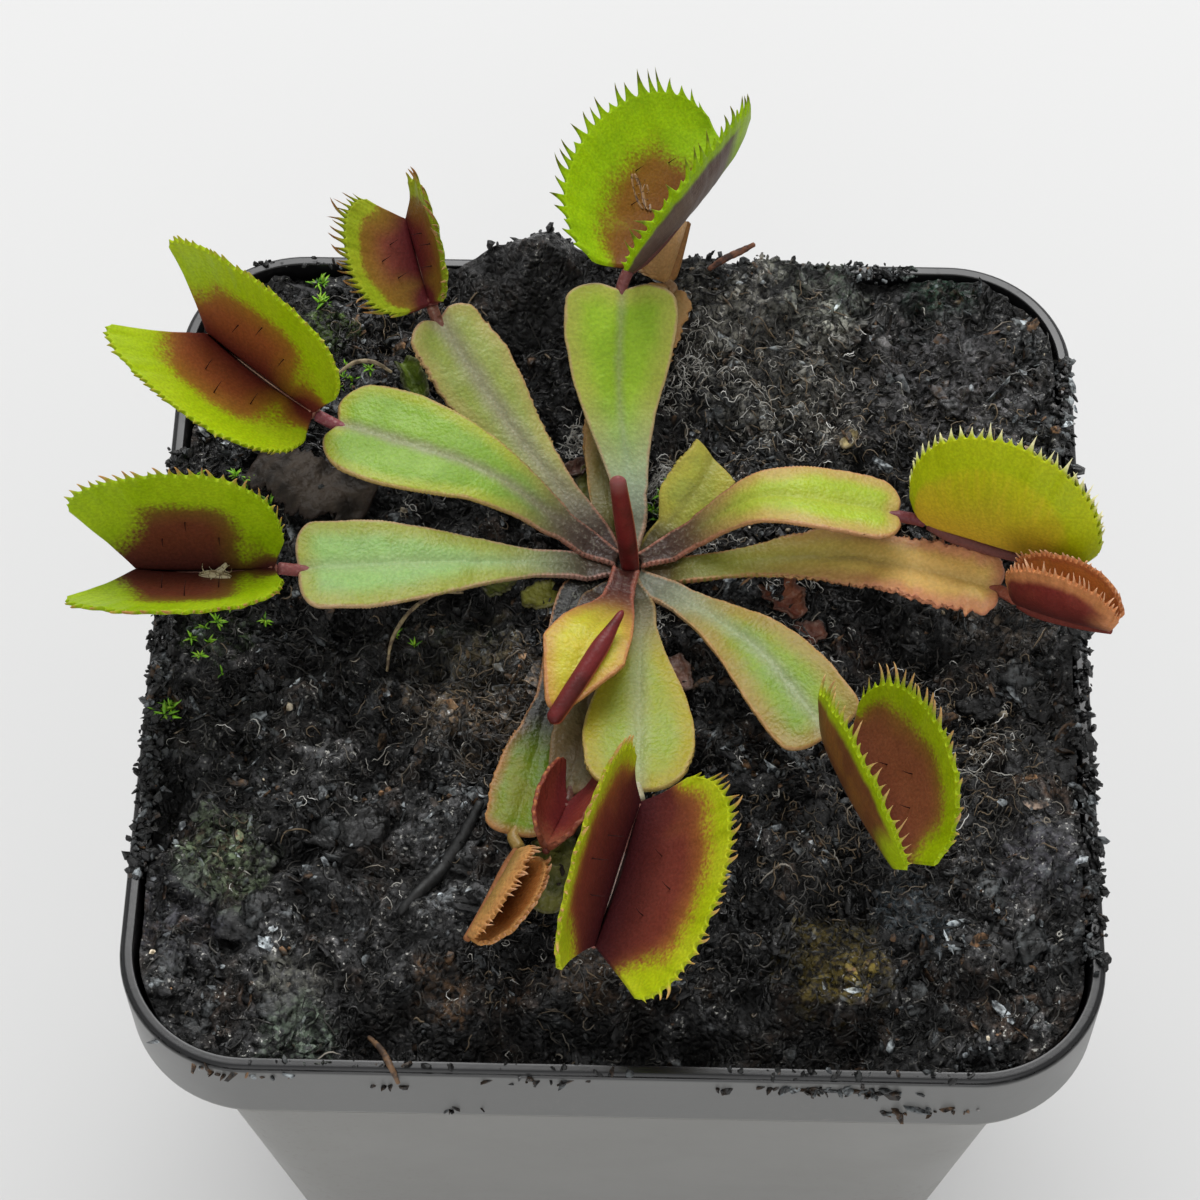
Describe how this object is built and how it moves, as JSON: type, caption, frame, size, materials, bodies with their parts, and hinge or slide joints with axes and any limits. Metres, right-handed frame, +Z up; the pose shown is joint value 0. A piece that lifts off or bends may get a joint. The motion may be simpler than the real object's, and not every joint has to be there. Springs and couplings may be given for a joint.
{
  "type": "potted venus flytrap",
  "caption": "Square tapered nursery pot filled with peat, holding a low rosette of snap-trap leaves with toothed open traps and flat winged leaf stalks.",
  "frame": {"origin": "centre of the underside of the pot's floor, on the surface that the pot stands on", "axes": "+Z up out of the pot, +X to the pot's right as pictured, +Y from the front to the back; the pot's sides lie along X and Y"},
  "size_m": [0.0765, 0.077, 0.1001],
  "materials": {
    "pot_plastic": "satin black injection-moulded plastic",
    "peat": "dark damp fibrous peat",
    "crown": "matte brown-green stem tissue",
    "leaf": "satin green leaf with tan edges and dark red trap insides",
    "leaf_aged": "satin olive to orange-brown ageing leaf",
    "leaf_young": "satin yellow young leaf with red edges",
    "leaf_rolled": "satin dark red rolled young leaf",
    "leaf_dead": "dull dark brown dead leaf"
  },
  "bodies": {
    "root": {"pot": "pot_plastic", "peat": "peat", "crown": "crown", "leaf_back": "leaf", "leaf_back_left": "leaf", "leaf_left_upper": "leaf", "leaf_left_lower": "leaf", "leaf_right_upper": "leaf", "leaf_front_right": "leaf", "leaf_front": "leaf", "leaf_right_lower": "leaf_aged", "leaf_small_front": "leaf_aged", "leaf_old_front": "leaf_aged", "leaf_old_back": "leaf_aged", "leaf_old_right": "leaf_aged", "leaf_young_folded": "leaf_young", "leaf_young_rolled": "leaf_rolled", "dead_leaf_left": "leaf_dead", "dead_leaf_front": "leaf_dead"}
  },
  "joints": []
}
